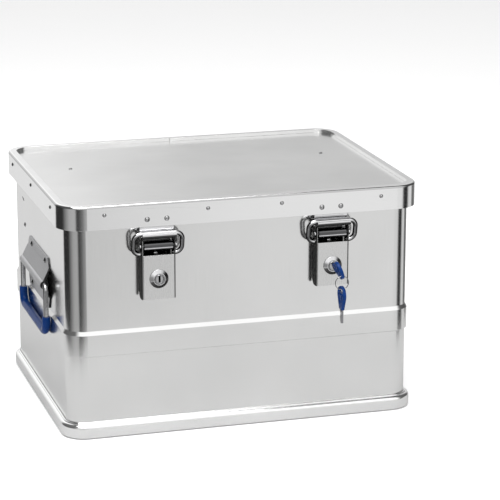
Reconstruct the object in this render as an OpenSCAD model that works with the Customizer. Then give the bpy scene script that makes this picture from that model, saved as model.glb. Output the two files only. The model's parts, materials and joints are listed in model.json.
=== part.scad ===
// Riveted aluminium transport case with a hinged lid, two lockable toggle latches and two drop handles.
// Millimetres, +Z up, front towards -Y. The origin is the middle of the bottom face of the case.

/* [Case] */
// Width over the lid frame
case_w = 432; // [400:1:520]
// Depth over the lid frame
case_d = 335; // [320:1:380]
// Height from the base rail to the top of the lid frame
case_h = 277; // [270:1:320]
// Thickness of the body sheet
sheet_t = 1.5; // [1.2:0.1:1.8]
// Outer corner radius of the body
body_r = 22; // [18:1:26]
// How far the stiffening bead stands out of the walls
bead_out = 2.3; // [1:0.1:3]
// Height of the lower edge of the bead
bead_z = 97; // [80:1:97]
// Width of the raised face of the bead
bead_h = 25; // [15:1:26]

/* [Lid] */
// How far the lid frame stands out past the body on every side
lid_out = 9; // [8.5:0.1:10]
// Height of the lid frame's outer band
band_h = 28; // [28:0.5:30]
// Width of the flat rim on top of the lid frame
rim_w = 10; // [9:0.5:12]
// Depth of the lid panel below the rim
panel_drop = 4; // [3.9:0.1:4.5]

/* [Base rail] */
// Height of the base rail
rail_h = 18.5; // [17:0.5:20]
// How far the base rail stands out past the body
rail_out = 6.5; // [6:0.1:7.5]

/* [Latches] */
// Distance of each latch from the middle of the front
latch_x = 104; // [90:1:120]
// Width of the lever
lever_w = 40; // [38:1:42]
// Depth of the latch in front of the wall
latch_depth = 15.5; // [15.5:0.1:16]
// Height of the lever's lower edge
lever_z = 165; // [160:1:167]
// Height of the lock's centre
lock_z = 189; // [186:1:191]
// Diameter of the bail's wire
bail_wire_d = 5.6; // [5:0.1:5.6]
// Width of the bail between the centres of its legs
bail_w = 57; // [56:1:60]

/* [Handles] */
// Height of the handle's pivot
handle_z = 159.5; // [157:0.5:162]
// Distance from the pivot down to the middle of the grip
handle_drop = 56.5; // [52:0.5:58]
// Distance between the centres of the handle's legs
handle_w = 138; // [134:1:144]
// Diameter of the handle's wire
handle_wire_d = 6.2; // [6:0.1:6.6]
// Diameter of the plastic grip
grip_d = 9.8; // [9.4:0.1:10.4]

/* [Hinges] */
// Distance of each hinge from the middle of the back
hinge_x = 115; // [95:1:125]
// Length of one hinge
hinge_w = 60; // [56:1:64]

/* [Keys] */
// How far the key in the right-hand lock is turned, in degrees
key_turn = 20; // [0:1:24]
// Length of the plastic head of a key
key_head_l = 28; // [26:1:29]
// Height of the plastic head of a key
key_head_w = 22; // [22:1:23]
// Diameter of the key ring at the middle of its wire
key_ring_d = 16; // [15:1:18]

/* [Hidden] */
$fn = 64;
LEFT = -1;
RIGHT = 1;
gap = 0.1;
cut = 1;

// case
body_w = case_w - 2 * lid_out;
body_d = case_d - 2 * lid_out;
front_y = -body_d / 2;
back_y = body_d / 2;
side_x = body_w / 2;
bead_slope = 1.5;
bead_shoulder = 4.5;
wall_z = 3;
wall_top = case_h - 19;
rim_z = case_h - 27;
rim_top = case_h - 17;

// lid frame section, outward distances counted from the body's outer face
band_t = 1.8;
band_in = lid_out - band_t;
band_z = case_h - band_h;
panel_t = 1.5;
panel_z = case_h - panel_drop - panel_t;
rim_in = lid_out - rim_w;
rim_t = 2;
edge_r = 3;
shelf_t = 2;
seam_x = -5;
seam_w = 0.4;
splice_l = 40;
splice_z = band_z + 2.5;

// rivets: head radius, head height, shank radius
small_rivet = [2.3, 1.3, 1.5];
large_rivet = [3.4, 1.9, 2.0];
strike_rivet = [3.4, 1.4, 2.0];
flat_rivet = [3.0, 1.2, 1.6];
rivet_play = 0.05;
band_rivet_z = case_h - 11;
band_rivet_x = [-165, -44, 44, 165];
band_rivet_y = [-113, 0, 113];
splice_rivet_x = [seam_x - 12, seam_x + 12];
splice_rivet_z = case_h - 15;

// latch pivots, as [y, z]
face_y = front_y - latch_depth;
pivot = [front_y - 10.5, 227];
bail_pivot = [front_y - 8.8, 217.5];
bail_bar = [front_y - 13.5, 241.5];
pin_r = 2;
pin_play = 0.05;
lever_t = 1.7;
lever_top = 216.7;
ear_r = 8.8;
barrel_r = 5.5;
base_t = 1.5;
base_w = lever_w - 2 * lever_t - 3.6;
base_z = 168;
bail_r = bail_wire_d / 2;
bail_corner_r = 8;

// strike hook, a J that holds the bail's bar
hook_t = 2;
hook_w = 40;
hook_back = front_y - band_in + gap + hook_t;
hook_front = front_y - 21;
hook_z = bail_bar[1] - bail_r - hook_t - 0.3;
hook_lip_z = bail_bar[1] + 0.7;
hook_top = band_z + 14;
hook_r = 5;
strike_rivet_x = [-11.5, 11.5];
strike_rivet_z = band_z + 8.7;

// lock
lock_r = 9;
bezel_r = 11;
bezel_t = 3;
bezel_lip = 0.6;
plug_r = 6.5;
plug_proud = 2.6;
housing_back = front_y - 7.7;
cam_t = 1.4;
cam_y = front_y - 2.5;
cam_l = 10.8;
cam_w = 8;
keyway_w = 2.3;
keyway_h = 8;
keyway_l = 13.7;
nut_af = 24;
nut_t = 2.2;

// keys
blade_t = 2;
blade_h = 7.5;
blade_l = 17;
blade_out = 4;
key_y = face_y - plug_proud - blade_out;
head_t = 4;
slot_r = 2.3;
slot_half = 5.4;
slot_in = 5.4;
ring_r = key_ring_d / 2;
ring_wire_r = 0.6;
ring_x = latch_x + slot_half * sin(key_turn);
ring_y = key_y - key_head_l + slot_in;
ring_hang = 0.5;
spare_hang = 1.2;
ring_z = lock_z - slot_half * cos(key_turn) - ring_hang - ring_r;
spare_z = ring_z - ring_r - spare_hang;

// handle bracket, as distance out of the wall and height
wire_r = handle_wire_d / 2;
wire_out = bead_out + 0.3 + grip_d / 2;
wire_play = 0.1;
bracket_t = 1.6;
tube_r = wire_r + wire_play + 1.9;
bracket_top = handle_z + 30.5;
bracket_bottom = bead_z + bead_slope + bead_h + bead_shoulder + 1.5;
upper_bend = 19.5;
lower_bend = 16;
bracket_l = 125;
bracket_top_l = 113;
bracket_corner = 6;
handle_bend_r = 6;
handle_corner_r = 14;
sleeve_top = handle_z - 37;
handle_rivets_yz = [[-39.5, bracket_top - 6.5], [39.5, bracket_top - 6.5],
                    [-39.5, bracket_bottom + 5.5], [39.5, bracket_bottom + 5.5]];

// hinges
hinge_axis = [back_y + 4.5, case_h - 32];
knuckle_r = 3.5;
hinge_pin_r = 1.5;
hinge_t = 2;
hinge_leaf_h = 30;
hinge_knuckle_play = 0.3;
hinge_rivet_x = [-20, 20];
hinge_body_rivet_z = hinge_axis[1] - 20;
hinge_lid_rivet_z = band_z + 9;

// lid straps: rivet on the side wall, bend behind, rivet under the lid
strap_w = 25;
strap_t = 1.6;
strap_wall = [side_x - sheet_t - 0.4 - strap_t / 2, 89, 195];
strap_bend = [side_x - sheet_t - 7, 124, 232];
strap_lid = [159, 40, panel_z - shelf_t + 0.7 - strap_t / 2];

// ---------- helpers ----------

// A ring around the case. Child: a section with x as the distance outward and y as the height.
module ring(w, d, r) {
    for (i = [0:3]) {
        across = i % 2 == 0 ? w / 2 : d / 2;
        along = i % 2 == 0 ? d / 2 : w / 2;
        rotate([0, 0, i * 90]) {
            translate([across, 0, 0]) rotate([90, 0, 0])
                linear_extrude(2 * (along - r), center = true) children();
            translate([across - r, along - r, 0])
                rotate_extrude(angle = 90) translate([r, 0]) children();
        }
    }
}

module rounded_square(w, d, r) {
    square([w - 2 * r, d], center = true);
    square([w, d - 2 * r], center = true);
    for (x = [-1, 1], y = [-1, 1])
        translate([x * (w / 2 - r), y * (d / 2 - r)]) circle(r);
}

// Rectangle from one corner to the opposite one
module span(low, high) {
    translate(low) square(high - low);
}

// A section drawn with x as depth and y as height, extruded across the width
module across_x(w) {
    rotate([90, 0, 90]) linear_extrude(w, center = true) children();
}

// A domed rivet on the plane z = 0 with its shank below
module rivet(kind, grip) {
    dome_r = (kind[0] * kind[0] + kind[1] * kind[1]) / (2 * kind[1]);
    intersection() {
        translate([0, 0, kind[1] - dome_r]) sphere(dome_r);
        cylinder(r = kind[0] + cut, h = kind[1] + cut);
    }
    translate([0, 0, -grip]) cylinder(r = kind[2], h = grip + kind[1] / 2);
}

module rivet_hole(kind, grip) {
    translate([0, 0, -grip - cut]) cylinder(r = kind[2] + rivet_play, h = grip + 2 * cut);
}

// Turns a rivet drawn along +Z to face out of the front, the back or one side
module on_front(x, z, y = front_y) {
    translate([x, y, z]) rotate([90, 0, 0]) children();
}

module on_back(x, z, y = back_y) {
    translate([x, y, z]) rotate([-90, 0, 0]) children();
}

module on_side(side, y, z, out = 0) {
    translate([side * (side_x + out), y, z]) rotate([0, side * 90, 0]) children();
}

// ---------- where the rivets go: each module places its children ----------

module at_latch_base_rivets(side) {
    for (at = [[-11, 173], [11, 173], [0, 215.5]])
        on_front(side * latch_x + at[0], at[1], front_y - base_t) children();
}

module at_handle_rivets(side) {
    for (at = handle_rivets_yz)
        on_side(side, at[0], at[1], bracket_t) children();
}

module at_hinge_body_rivets(side) {
    for (x = hinge_rivet_x)
        on_back(side * hinge_x + x, hinge_body_rivet_z, back_y + hinge_t) children();
}

module at_hinge_lid_rivets(side) {
    for (x = hinge_rivet_x)
        on_back(side * hinge_x + x, hinge_lid_rivet_z, back_y + lid_out) children();
}

module at_strike_rivets(side) {
    for (x = strike_rivet_x)
        on_front(side * latch_x + x, strike_rivet_z, front_y - lid_out) children();
}

module at_band_rivets() {
    for (x = band_rivet_x) {
        on_front(x, band_rivet_z, front_y - lid_out) children();
        on_back(x, band_rivet_z, back_y + lid_out) children();
    }
    for (side = [LEFT, RIGHT], y = band_rivet_y)
        on_side(side, y, band_rivet_z, lid_out) children();
    for (x = splice_rivet_x)
        on_back(x, splice_rivet_z, back_y + lid_out) children();
}

module at_strap_wall_rivets() {
    for (side = [LEFT, RIGHT])
        on_side(side, strap_wall[1], strap_wall[2]) children();
}

module at_strap_lid_rivets() {
    for (side = [LEFT, RIGHT])
        translate([side * strap_lid[0], strap_lid[1], panel_z + panel_t]) children();
}

// ---------- case body ----------

module wall_section() {
    span([-sheet_t, wall_z], [0, wall_top]);
    polygon([
        [-sheet_t / 2, bead_z],
        [0, bead_z],
        [bead_out, bead_z + bead_slope],
        [bead_out, bead_z + bead_slope + bead_h],
        [0, bead_z + bead_slope + bead_h + bead_shoulder],
        [-sheet_t / 2, bead_z + bead_slope + bead_h + bead_shoulder]
    ]);
}

module body_shell() {
    grip = sheet_t + bracket_t;
    color("lightgray") difference() {
        ring(body_w, body_d, body_r) wall_section();
        for (side = [LEFT, RIGHT]) {
            at_latch_base_rivets(side) rivet_hole(flat_rivet, grip);
            at_handle_rivets(side) rivet_hole(large_rivet, grip);
            at_hinge_body_rivets(side) rivet_hole(flat_rivet, sheet_t + hinge_t);
        }
        at_strap_wall_rivets() rivet_hole(flat_rivet, grip);
    }
}

module bottom_panel() {
    inset = sheet_t + gap;
    color("gainsboro") linear_extrude(panel_t)
        rounded_square(body_w - 2 * inset, body_d - 2 * inset, body_r - inset);
}

// Base rail: foot, ledge over the bottom panel, rounded shoulder and a small bead against the wall
module rail_section() {
    ledge = 12;
    foot_r = 3;
    bead_r = 1.4;
    shoulder_r = 5;
    difference() {
        union() {
            span([gap, foot_r], [rail_out, rail_h - bead_r - shoulder_r]);
            span([-sheet_t, 0], [rail_out - foot_r, wall_z]);
            translate([rail_out - foot_r, foot_r]) circle(foot_r);
            translate([rail_out - shoulder_r, rail_h - bead_r - shoulder_r]) circle(shoulder_r);
            span([-ledge, panel_t + gap], [0, wall_z]);
            translate([bead_r + gap, rail_h - bead_r]) circle(bead_r);
            span([gap, rail_h - 2 * bead_r], [2 * bead_r, rail_h - bead_r]);
        }
        span([-ledge - cut, wall_z], [gap, rail_h + cut]);
    }
}

module base_rail() {
    color("silver") ring(body_w, body_d, body_r) rail_section();
}

// Folded edge over the top of the walls
module body_rim() {
    color("silver") ring(body_w, body_d, body_r) difference() {
        span([-3.3, rim_z], [1.8, rim_top]);
        span([-sheet_t - gap, rim_z - cut], [gap, wall_top + gap]);
    }
}

// ---------- lid ----------

module lid_panel() {
    reach = band_in - 1.2;
    color("whitesmoke") difference() {
        translate([0, 0, panel_z]) linear_extrude(panel_t)
            rounded_square(body_w + 2 * reach, body_d + 2 * reach, body_r + reach);
        at_strap_lid_rivets() rivet_hole(small_rivet, panel_t);
    }
}

module frame_section() {
    difference() {
        union() {
            span([rim_in, panel_z - gap - shelf_t], [lid_out - edge_r, case_h]);
            span([band_in, band_z], [lid_out, case_h - edge_r]);
            span([rim_in, panel_z - gap - shelf_t], [lid_out, case_h - edge_r]);
            translate([lid_out - edge_r, case_h - edge_r]) circle(edge_r);
        }
        // slot for the panel's edge, and the hollow above it
        span([rim_in - cut, panel_z - gap], [band_in, panel_z + panel_t + gap]);
        span([rim_in + 1.6, panel_z], [band_in, case_h - rim_t]);
    }
}

module lid_frame() {
    color("silver") difference() {
        ring(body_w, body_d, body_r) frame_section();
        translate([seam_x - seam_w / 2, 0, band_z - cut]) cube([seam_w, case_d, band_h + 2 * cut]);
        at_band_rivets() rivet_hole(small_rivet, band_t);
        for (side = [LEFT, RIGHT]) {
            at_strike_rivets(side) rivet_hole(strike_rivet, band_t);
            at_hinge_lid_rivets(side) rivet_hole(flat_rivet, band_t);
        }
    }
}

// Plate inside the band that joins the two ends of the frame at the back
module lid_splice() {
    color("silver") difference() {
        translate([seam_x - splice_l / 2, back_y + band_in - gap - hook_t, splice_z])
            cube([splice_l, hook_t, panel_z - shelf_t - splice_z - 2]);
        at_band_rivets() rivet_hole(small_rivet, band_t + hook_t + gap);
    }
}

module lid_seal() {
    color("dimgray") ring(body_w, body_d, body_r)
        span([-2.6, rim_top + 0.3], [2.4, panel_z - gap - shelf_t]);
}

module lid_rivets() {
    color("gray") at_band_rivets() rivet(small_rivet, band_t + 0.8);
}

// ---------- lid straps ----------

module strap_block(at, w, h) {
    translate(at) cube([strap_t, w, h], center = true);
}

module strap(side) {
    color("dimgray") mirror([side == LEFT ? 1 : 0, 0, 0]) {
        hull() {
            strap_block(strap_wall, strap_w, strap_t);
            strap_block(strap_bend, strap_w, strap_t);
        }
        hull() {
            strap_block(strap_bend, strap_w, strap_t);
            strap_block(strap_lid, strap_w, strap_t);
        }
    }
}

module strap_lid_rivets() {
    color("gray") at_strap_lid_rivets() rivet(small_rivet, panel_t + 0.4);
}

module strap_wall_rivets() {
    color("gray") at_strap_wall_rivets() rivet(flat_rivet, sheet_t + 0.2);
}

// ---------- strike hooks on the lid ----------

module hook_section() {
    depth = hook_back - hook_front;
    height = hook_top - hook_z;
    difference() {
        translate([hook_front + depth / 2, hook_z + height / 2]) rounded_square(depth, height, hook_r);
        translate([hook_front + depth / 2, hook_z + height / 2 + hook_t])
            rounded_square(depth - 2 * hook_t, height, hook_r - hook_t);
        span([hook_front - cut, hook_lip_z], [hook_back - hook_t, hook_top + cut]);
        span([hook_front - cut, hook_top - hook_r], [hook_back + cut, hook_top + cut]);
    }
    translate([hook_front + hook_t / 2, hook_lip_z]) circle(hook_t / 2);
}

module strike_hook(side) {
    color("lightsteelblue") difference() {
        translate([side * latch_x, 0, 0]) across_x(hook_w) hook_section();
        at_strike_rivets(side) rivet_hole(strike_rivet, band_t + gap + hook_t);
    }
}

module strike_rivets(side) {
    color("gray") at_strike_rivets(side) rivet(strike_rivet, band_t + gap + hook_t + 0.8);
}

// ---------- latches ----------

// Plate on the wall that curls forward into the barrel around the pivot pin
module base_section() {
    span([front_y - base_t, base_z], [front_y, pivot[1] + barrel_r]);
    span([pivot[0], pivot[1] + barrel_r - hook_t], [front_y, pivot[1] + barrel_r]);
    translate(pivot) circle(barrel_r);
}

// Bracket on the base plate that the cam turns behind
module cam_keeper() {
    keeper_h = 10;
    keeper_x = cam_l + 0.7;
    lip_y = cam_y - cam_t - 1.5;
    translate([keeper_x, lip_y - hook_t, lock_z - keeper_h / 2])
        cube([hook_t, front_y - base_t - lip_y + hook_t + gap, keeper_h]);
    translate([keeper_x - 4, lip_y - hook_t, lock_z - keeper_h / 2])
        cube([4 + hook_t, hook_t, keeper_h]);
}

module latch_base(side) {
    color("silver") difference() {
        translate([side * latch_x, 0, 0]) {
            across_x(base_w) base_section();
            cam_keeper();
        }
        translate([side * latch_x, pivot[0], pivot[1]]) rotate([0, 90, 0])
            cylinder(r = pin_r + pin_play, h = lever_w, center = true);
        at_latch_base_rivets(side) rivet_hole(flat_rivet, base_t);
    }
}

module latch_rivets(side) {
    color("gray") at_latch_base_rivets(side) rivet(flat_rivet, base_t + sheet_t + 0.8);
}

// Channel section of the lever: front web and two side flanges
module lever_channel() {
    fold_r = 2.5;
    difference() {
        translate([0, face_y + latch_depth]) rounded_square(lever_w, 2 * latch_depth, fold_r);
        translate([0, face_y + lever_t + latch_depth])
            rounded_square(lever_w - 2 * lever_t, 2 * latch_depth, fold_r - lever_t);
        span([-lever_w, front_y - 2], [lever_w, front_y + 2 * latch_depth]);
    }
}

// Side outline of the lever, drawn as [y, z]
module lever_outline() {
    heel_r = 6;
    rear_y = front_y - 2;
    span([face_y - cut, lever_z - cut], [rear_y - heel_r, pivot[1]]);
    span([face_y - cut, lever_z + heel_r], [rear_y, pivot[1] - 3]);
    translate([rear_y - heel_r, lever_z + heel_r]) circle(heel_r);
    translate(pivot) circle(ear_r);
    span([pivot[0] - ear_r, pivot[1] - ear_r], [pivot[0] + ear_r, pivot[1]]);
}

module latch_lever(side) {
    color("lightgray") translate([side * latch_x, 0, 0]) difference() {
        union() {
            intersection() {
                translate([0, 0, lever_z]) linear_extrude(2 * latch_depth + lever_top - lever_z)
                    lever_channel();
                across_x(lever_w + cut) lever_outline();
            }
            // folded lower edge
            translate([-lever_w / 2 + lever_t, face_y + gap, lever_z])
                cube([lever_w - 2 * lever_t, 6, lever_t]);
        }
        // open window between the flanges, above the web
        translate([-lever_w / 2 + lever_t, face_y - cut, lever_top])
            cube([lever_w - 2 * lever_t, latch_depth, 2 * latch_depth]);
        translate([0, pivot[0], pivot[1]]) rotate([0, 90, 0])
            cylinder(r = pin_r + pin_play, h = lever_w + cut, center = true);
        translate([0, bail_pivot[0], bail_pivot[1]]) rotate([0, 90, 0])
            cylinder(r = bail_r + pin_play, h = lever_w + cut, center = true);
        translate([0, face_y - cut, lock_z]) rotate([-90, 0, 0])
            cylinder(r = lock_r + gap, h = lever_t + 2 * cut);
    }
}

module latch_pin(side) {
    head_r = 3.6;
    head_t = 1.4;
    color("gray") translate([side * latch_x, pivot[0], pivot[1]]) rotate([0, 90, 0]) {
        cylinder(r = pin_r, h = lever_w + 4 * gap + head_t, center = true);
        for (end = [-1, 1])
            translate([0, 0, end * (lever_w / 2 + 2 * gap + head_t / 2)])
                cylinder(r = head_r, h = head_t, center = true);
    }
}

// A wire bend in the XZ plane: turns from +Z at x = r, z = 0 to -X at x = 0, z = r
module wire_bend(bend_r, r) {
    rotate([90, 0, 0]) rotate_extrude(angle = 90) translate([bend_r, 0]) circle(r);
}

// Wire loop hooked through the lever's flanges; drawn upright, then leaned to meet the hook
module latch_bail(side) {
    rise = bail_bar - bail_pivot;
    leg = norm(rise);
    lean = atan2(-rise[0], rise[1]);
    half = bail_w / 2;
    stub_end = lever_w / 2 - lever_t - 1;
    straight = leg - 2 * bail_corner_r;
    color("silver") translate([side * latch_x, bail_pivot[0], bail_pivot[1]]) rotate([lean, 0, 0]) {
        translate([0, 0, leg]) rotate([0, 90, 0])
            cylinder(r = bail_r, h = 2 * (half - bail_corner_r), center = true);
        for (hand = [0, 1]) mirror([hand, 0, 0]) {
            translate([half - bail_corner_r, 0, leg - bail_corner_r]) wire_bend(bail_corner_r, bail_r);
            translate([half, 0, bail_corner_r]) cylinder(r = bail_r, h = straight);
            translate([half - bail_corner_r, 0, bail_corner_r]) rotate([0, 90, 0])
                wire_bend(bail_corner_r, bail_r);
            translate([stub_end, 0, 0]) rotate([0, 90, 0])
                cylinder(r = bail_r, h = half - bail_corner_r - stub_end);
        }
    }
}

// ---------- locks ----------

// Places a child drawn along +Z at a lock, with +Z pointing out of the front
module at_lock(side) {
    on_front(side * latch_x, lock_z, face_y) children();
}

module lock_housing(side) {
    depth = housing_back - face_y;
    color("silver") at_lock(side) difference() {
        union() {
            cylinder(r = bezel_r, h = bezel_lip);
            translate([0, 0, bezel_lip]) cylinder(r1 = bezel_r, r2 = plug_r + 0.6, h = bezel_t - bezel_lip);
            translate([0, 0, -depth]) cylinder(r = lock_r, h = depth);
        }
        translate([0, 0, -depth - cut]) cylinder(r = plug_r + pin_play, h = depth + bezel_t + 2 * cut);
    }
}

module lock_nut(side) {
    color("gray") at_lock(side) difference() {
        translate([0, 0, -lever_t - gap - nut_t]) cylinder(d = nut_af / cos(30), h = nut_t, $fn = 6);
        translate([0, 0, -latch_depth]) cylinder(r = lock_r + gap, h = latch_depth);
    }
}

// How far each plug is turned towards locked
function plug_turn(side) = side == RIGHT ? key_turn : 0;

module lock_plug(side) {
    tail = cam_y - cam_t - face_y;
    color("lightgray") at_lock(side) rotate([0, 0, plug_turn(side)]) difference() {
        translate([0, 0, -tail]) cylinder(r = plug_r, h = tail + plug_proud);
        translate([-keyway_w / 2, -keyway_h / 2, plug_proud - keyway_l])
            cube([keyway_w, keyway_h, keyway_l + cut]);
    }
}

// Cam on the back of the plug. Unlocked it points down, and a quarter turn puts it behind the keeper.
module lock_cam(side) {
    tail = cam_y - face_y;
    color("gray") at_lock(side) rotate([0, 0, plug_turn(side)]) translate([0, 0, -tail])
        linear_extrude(cam_t) {
            circle(plug_r);
            span([-cam_w / 2, -cam_l], [cam_w / 2, 0]);
        }
}

// ---------- keys ----------

// Outline of a key's head: the neck starts at the origin, and the head points along +X
module key_outline() {
    neck_w = 9;
    head_r = key_head_w / 2;
    middle = key_head_l - head_r;
    difference() {
        union() {
            translate([middle, 0]) circle(head_r);
            polygon([[0, -neck_w / 2], [middle, -head_r], [middle, head_r], [0, neck_w / 2]]);
        }
        // slot that the ring slides along
        for (y = [-slot_half, slot_half]) translate([key_head_l - slot_in, y]) circle(slot_r);
        translate([key_head_l - slot_in, 0]) square(2 * [slot_r, slot_half], center = true);
    }
}

module key_head_solid() {
    color("mediumblue") linear_extrude(head_t, center = true) key_outline();
}

module key_blade_solid() {
    tip = 2.5;
    color("silver") linear_extrude(blade_t, center = true) polygon([
        [-gap, -blade_h / 2],
        [-gap, blade_h / 2],
        [tip - blade_l, blade_h / 2],
        [-blade_l, 0],
        [tip - blade_l, -blade_h / 2]
    ]);
}

// Key in the right-hand lock, head outward
module in_lock() {
    translate([latch_x, key_y, lock_z]) rotate([0, -key_turn, 0]) rotate([90, 0, -90]) children();
}

// Key hanging from the ring, blade down
module on_ring() {
    translate([ring_x, ring_y, spare_z - key_head_l + slot_in])
        rotate([0, -90, 0]) children();
}

module key_ring() {
    color("silver") translate([ring_x, ring_y, ring_z]) rotate([90, 0, 0])
        rotate_extrude() translate([ring_r, 0]) circle(ring_wire_r);
}

// ---------- handles ----------

// One flange of the sheet bracket with its slope to the tube, drawn as [distance out of the wall,
// height above the pivot]. It leaves the wall at the bend and reaches up to the given height.
module flange_section(bend, reach) {
    polygon([
        [0, reach],
        [0, bend],
        [wire_out - 0.6, wire_r + 0.8],
        [wire_out + 1.7, tube_r - 0.4],
        [bracket_t, bend + 0.6],
        [bracket_t, reach]
    ]);
}

module flange(bend, reach) {
    rotate([90, 0, 0]) linear_extrude(bracket_l, center = true) mirror([1, 0]) flange_section(bend, reach);
}

// Outline of the bracket seen from the side, drawn as [y, z]
module bracket_outline() {
    half = bracket_l / 2;
    half_top = bracket_top_l / 2;
    taper_z = handle_z + upper_bend - 3;
    polygon([
        [-half, handle_z - lower_bend],
        [-half, taper_z],
        [-half_top - bracket_corner / 3, bracket_top - bracket_corner],
        [-half_top + bracket_corner / 2, bracket_top],
        [half_top - bracket_corner / 2, bracket_top],
        [half_top + bracket_corner / 3, bracket_top - bracket_corner],
        [half, taper_z],
        [half, handle_z - lower_bend],
        [half_top, bracket_bottom],
        [-half_top, bracket_bottom]
    ]);
}

// Puts a solid drawn for the left side on the wanted side
module on_handle_side(side) {
    mirror([side == RIGHT ? 1 : 0, 0, 0]) children();
}

// Cylinder along the handle's pivot
module pivot_rod(r, l) {
    translate([-wire_out, 0, 0]) rotate([90, 0, 0]) cylinder(r = r, h = l, center = true);
}

module handle_bracket(side) {
    color("darkgray") difference() {
        on_handle_side(side) translate([-side_x, 0, 0]) intersection() {
            translate([0, 0, handle_z]) difference() {
                union() {
                    flange(upper_bend, bracket_top - handle_z);
                    mirror([0, 0, 1]) flange(lower_bend, handle_z - bracket_bottom);
                    pivot_rod(tube_r, bracket_l);
                }
                pivot_rod(wire_r + wire_play, bracket_l + cut);
            }
            translate([-wire_out - 2 * tube_r, 0, 0]) rotate([90, 0, 90])
                linear_extrude(3 * tube_r + wire_out) bracket_outline();
        }
        at_handle_rivets(side) rivet_hole(large_rivet, bracket_t);
    }
}

module handle_rivets(side) {
    color("gray") at_handle_rivets(side) rivet(large_rivet, bracket_t + sheet_t + 0.8);
}

// Handle path for a given radius: stubs in the tube, legs and the lower bar
module handle_path(r, top, bar_only) {
    half = handle_w / 2;
    low = handle_z - handle_drop;
    stub = 22;
    translate([-side_x - wire_out, 0, 0]) rotate([0, 0, 90]) {
        translate([0, 0, low]) rotate([0, 90, 0])
            cylinder(r = r, h = 2 * (half - handle_corner_r), center = true);
        for (hand = [0, 1]) mirror([hand, 0, 0]) {
            translate([half - handle_corner_r, 0, low + handle_corner_r]) rotate([0, 90, 0])
                wire_bend(handle_corner_r, r);
            translate([half, 0, low + handle_corner_r])
                cylinder(r = r, h = top - low - handle_corner_r);
            if (!bar_only) {
                translate([half - handle_bend_r, 0, handle_z - handle_bend_r])
                    wire_bend(handle_bend_r, r);
                translate([half - handle_bend_r - stub, 0, handle_z]) rotate([0, 90, 0])
                    cylinder(r = r, h = stub);
            }
        }
    }
}

module handle_wire(side) {
    color("silver") on_handle_side(side) handle_path(wire_r, handle_z - handle_bend_r, false);
}

module handle_grip(side) {
    color("mediumblue") on_handle_side(side) difference() {
        handle_path(grip_d / 2, sleeve_top, true);
        handle_path(wire_r + rivet_play, sleeve_top + cut, true);
    }
}

// ---------- hinges ----------

module knuckle(x, w) {
    translate([x, hinge_axis[0], hinge_axis[1]]) rotate([0, 90, 0])
        cylinder(r = knuckle_r, h = w, center = true);
}

module hinge_bore(x) {
    translate([x, hinge_axis[0], hinge_axis[1]]) rotate([0, 90, 0])
        cylinder(r = hinge_pin_r + pin_play, h = hinge_w + 2 * cut, center = true);
}

// Leaf on the wall with the two outer knuckles
module hinge_body_leaf(side) {
    outer = hinge_w / 3 - hinge_knuckle_play;
    color("silver") difference() {
        union() {
            translate([side * hinge_x - hinge_w / 2, back_y, hinge_axis[1] - hinge_leaf_h])
                cube([hinge_w, hinge_t, hinge_leaf_h - knuckle_r - 1]);
            for (end = [-1, 1]) {
                x = side * hinge_x + end * (hinge_w - outer) / 2;
                knuckle(x, outer);
                translate([x - outer / 2, back_y, hinge_axis[1] - knuckle_r - 2])
                    cube([outer, hinge_t, knuckle_r + 2]);
            }
        }
        hinge_bore(side * hinge_x);
        at_hinge_body_rivets(side) rivet_hole(flat_rivet, hinge_t);
    }
}

// Leaf inside the lid's band with the middle knuckle
module hinge_lid_leaf(side) {
    middle = hinge_w / 3 - hinge_knuckle_play;
    leaf_y = back_y + band_in - gap - hinge_t;
    color("silver") difference() {
        union() {
            translate([side * hinge_x - hinge_w / 2, leaf_y, band_z + 1])
                cube([hinge_w, hinge_t, 15]);
            translate([side * hinge_x - middle / 2, leaf_y, hinge_axis[1]])
                cube([middle, hinge_t, band_z + 2 - hinge_axis[1]]);
            knuckle(side * hinge_x, middle);
        }
        hinge_bore(side * hinge_x);
        at_hinge_lid_rivets(side) rivet_hole(flat_rivet, band_t + gap + hinge_t);
    }
}

module hinge_pin(side) {
    color("gray") translate([side * hinge_x, hinge_axis[0], hinge_axis[1]]) rotate([0, 90, 0])
        cylinder(r = hinge_pin_r, h = hinge_w + 1, center = true);
}

module hinge_body_rivets() {
    color("gray") for (side = [LEFT, RIGHT])
        at_hinge_body_rivets(side) rivet(flat_rivet, hinge_t + sheet_t + 0.8);
}

module hinge_lid_rivets() {
    color("gray") for (side = [LEFT, RIGHT])
        at_hinge_lid_rivets(side) rivet(flat_rivet, band_t + gap + hinge_t + 0.8);
}

// ---------- nodes ----------

body_shell();
bottom_panel();
base_rail();
body_rim();
lid_panel();
lid_frame();
lid_splice();
lid_seal();
lid_rivets();
strap(LEFT);  // strap_left
strap(RIGHT);  // strap_right
strap_lid_rivets();
strap_wall_rivets();
strike_hook(LEFT);  // strike_hook_left
strike_hook(RIGHT);  // strike_hook_right
strike_rivets(LEFT);  // strike_rivets_left
strike_rivets(RIGHT);  // strike_rivets_right
latch_base(LEFT);  // latch_base_left
latch_base(RIGHT);  // latch_base_right
latch_rivets(LEFT);  // latch_rivets_left
latch_rivets(RIGHT);  // latch_rivets_right
latch_lever(LEFT);  // latch_lever_left
latch_lever(RIGHT);  // latch_lever_right
latch_pin(LEFT);  // latch_pin_left
latch_pin(RIGHT);  // latch_pin_right
latch_bail(LEFT);  // latch_bail_left
latch_bail(RIGHT);  // latch_bail_right
lock_housing(LEFT);  // lock_housing_left
lock_housing(RIGHT);  // lock_housing_right
lock_nut(LEFT);  // lock_nut_left
lock_nut(RIGHT);  // lock_nut_right
lock_plug(LEFT);  // lock_plug_left
lock_plug(RIGHT);  // lock_plug_right
lock_cam(LEFT);  // lock_cam_left
lock_cam(RIGHT);  // lock_cam_right
in_lock() key_blade_solid();  // key_blade
in_lock() key_head_solid();  // key_head
key_ring();
on_ring() key_blade_solid();  // spare_key_blade
on_ring() key_head_solid();  // spare_key_head
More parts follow.
